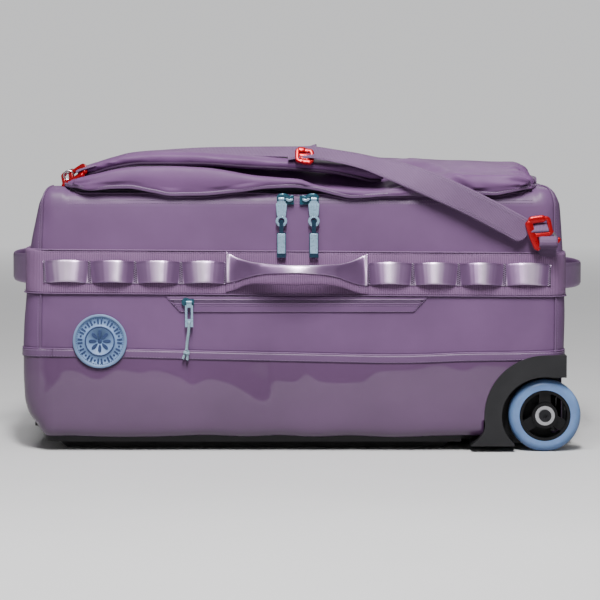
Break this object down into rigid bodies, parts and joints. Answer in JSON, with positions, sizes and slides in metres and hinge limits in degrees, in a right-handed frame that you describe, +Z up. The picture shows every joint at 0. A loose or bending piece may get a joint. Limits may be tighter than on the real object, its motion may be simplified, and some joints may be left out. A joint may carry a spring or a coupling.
{
  "type": "rolling duffel bag",
  "caption": "Soft rectangular travel duffel on a moulded base, with inline wheels, a telescopic trolley handle, a full-length zipped lid, webbing carry handles and a clip-on strap.",
  "frame": {"origin": "middle of the footprint, on the floor plane that the wheels and skid rails stand on", "axes": "+X from the handle end to the wheel end, -Y is the pocket side, +Z up"},
  "size_m": [0.676, 0.388, 0.3465],
  "materials": {
    "fabric_upper": "satin TPU-laminated polyester, purple",
    "fabric_tub": "glossier TPU-laminated tarpaulin, purple",
    "fabric_lid": "satin TPU-laminated polyester, purple",
    "webbing_ribbed": "matte ribbed webbing, purple",
    "webbing_satin": "satin narrow webbing, lilac purple",
    "strap_fabric": "coarse matte strap webbing, purple",
    "zip_tape": "coil zip tape, dark purple",
    "lining": "grey-purple lining cloth",
    "black_plastic": "moulded black polypropylene",
    "black_steel": "black-oxide steel",
    "aluminium_tube": "drawn and anodised",
    "bearing_steel": "ground steel",
    "tyre_blue": "cast polyurethane, light blue",
    "hub_black": "moulded black nylon",
    "red_anodised": "gloss red",
    "zip_teal": "dark teal enamel",
    "pull_blue": "light blue enamel",
    "badge_rubber": "soft moulded rubber, light blue",
    "cord_blue": "braided cord, light blue",
    "button_grey": "moulded dark grey"
  },
  "bodies": {
    "root": {"base_tray": "black_plastic", "skid_rails": "black_plastic", "wheel_housing_near": "black_plastic", "wheel_housing_far": "black_plastic", "kick_plate": "black_plastic", "back_board": "black_plastic", "outer_tubes": "aluminium_tube", "outer_bushes": "black_plastic", "tube_anchor": "black_plastic", "handle_cup": "black_plastic", "bearing_inner_races": "bearing_steel", "axle_bolts": "black_steel", "axle_nuts": "bearing_steel", "near_side_panel": "fabric_upper", "far_side_panel": "fabric_upper", "left_end_panel": "fabric_upper", "right_end_panel": "fabric_upper", "lower_tub": "fabric_tub", "liner": "lining", "body_zip_tape": "zip_tape", "webbing_band": "webbing_ribbed", "daisy_chains": "webbing_satin", "side_handles": "webbing_satin", "end_handles": "webbing_satin", "pocket_welt": "fabric_upper", "pocket_zip_coil": "zip_tape", "badge": "badge_rubber", "strap_anchor_right": "webbing_satin"},
    "lid": {"lid_top_panel": "fabric_lid", "lid_side_wall": "fabric_lid", "lid_zip_tape": "zip_tape", "strap_pad": "strap_fabric", "strap_webbing": "strap_fabric", "strap_adjuster": "red_anodised", "hook_left": "red_anodised", "hook_right": "red_anodised", "strap_anchor_left": "webbing_satin"},
    "gate_left": {"gate_left": "bearing_steel"},
    "gate_right": {"gate_right": "bearing_steel"},
    "wheel_near": {"tyre_near": "tyre_blue", "hub_near": "hub_black", "bearing_outer_near": "bearing_steel"},
    "wheel_far": {"tyre_far": "tyre_blue", "hub_far": "hub_black", "bearing_outer_far": "bearing_steel"},
    "trolley_mid": {"mid_tubes": "aluminium_tube"},
    "trolley_handle": {"inner_tubes": "aluminium_tube", "grip_top": "black_plastic", "grip_bottom": "black_plastic"},
    "trolley_button": {"release_button": "button_grey", "release_rods": "bearing_steel"},
    "zip_left": {"slider_left": "zip_teal"},
    "zip_right": {"slider_right": "zip_teal"},
    "tab_left": {"pull_tab_left": "pull_blue"},
    "tab_right": {"pull_tab_right": "pull_blue"},
    "bar_left": {"pull_bar_left": "pull_blue"},
    "bar_right": {"pull_bar_right": "pull_blue"},
    "pocket_zip": {"pocket_slider": "zip_teal"},
    "pocket_pull": {"pocket_tab": "pull_blue", "pocket_cord": "cord_blue"}
  },
  "joints": [
    {"name": "lid_open", "type": "hinge", "parent": "root", "child": "lid", "pos_m": [0, 0.17, 0.2908], "axis": [-1, 0, 0], "range_deg": [0, 100], "deforming": ["strap_anchor_right"]},
    {"name": "wheel_near_spin", "type": "hinge", "parent": "root", "child": "wheel_near", "pos_m": [0.281, -0.156, 0.041], "axis": [0, 1, 0], "continuous": true},
    {"name": "wheel_far_spin", "type": "hinge", "parent": "root", "child": "wheel_far", "pos_m": [0.281, 0.156, 0.041], "axis": [0, 1, 0], "continuous": true},
    {"name": "trolley_mid_slide", "type": "slide", "parent": "root", "child": "trolley_mid", "axis": [-1, 0, 0], "range_m": [0, 0.2]},
    {"name": "trolley_handle_slide", "type": "slide", "parent": "trolley_mid", "child": "trolley_handle", "axis": [-1, 0, 0], "range_m": [0, 0.2]},
    {"name": "release_button_press", "type": "slide", "parent": "trolley_handle", "child": "trolley_button", "axis": [1, 0, 0], "range_m": [0, 0.0035], "stiffness_N_per_m": 400},
    {"name": "zip_left_slide", "type": "slide", "parent": "root", "child": "zip_left", "axis": [-1, 0, 0], "range_m": [0, 0.225]},
    {"name": "zip_right_slide", "type": "slide", "parent": "root", "child": "zip_right", "axis": [1, 0, 0], "range_m": [0, 0.225]},
    {"name": "tab_left_swing", "type": "hinge", "parent": "zip_left", "child": "tab_left", "pos_m": [-0.0175, -0.1762, 0.287], "axis": [-1, 0, 0], "range_deg": [0, 120]},
    {"name": "tab_right_swing", "type": "hinge", "parent": "zip_right", "child": "tab_right", "pos_m": [0.019, -0.1762, 0.287], "axis": [-1, 0, 0], "range_deg": [0, 120]},
    {"name": "bar_left_swing", "type": "hinge", "parent": "tab_left", "child": "bar_left", "pos_m": [-0.0175, -0.1762, 0.2571], "axis": [-1, 0, 0], "range_deg": [0, 25]},
    {"name": "bar_right_swing", "type": "hinge", "parent": "tab_right", "child": "bar_right", "pos_m": [0.019, -0.1762, 0.2571], "axis": [-1, 0, 0], "range_deg": [0, 25]},
    {"name": "pocket_zip_slide", "type": "slide", "parent": "root", "child": "pocket_zip", "axis": [1, 0, 0], "range_m": [0, 0.245]},
    {"name": "pocket_pull_swing", "type": "hinge", "parent": "pocket_zip", "child": "pocket_pull", "pos_m": [-0.122, -0.1777, 0.1707], "axis": [-1, 0, 0], "range_deg": [0, 100]},
    {"name": "gate_left_open", "type": "hinge", "parent": "lid", "child": "gate_left", "pos_m": [-0.24992, -0.1245, 0.31825], "axis": [-0.5, 0, 0.866], "range_deg": [0, 22], "stiffness_Nm_per_rad": 0.01},
    {"name": "gate_right_open", "type": "hinge", "parent": "lid", "child": "gate_right", "pos_m": [0.2865, -0.185, 0.2505], "axis": [0, 1, 0], "range_deg": [0, 22], "stiffness_Nm_per_rad": 0.01}
  ]
}
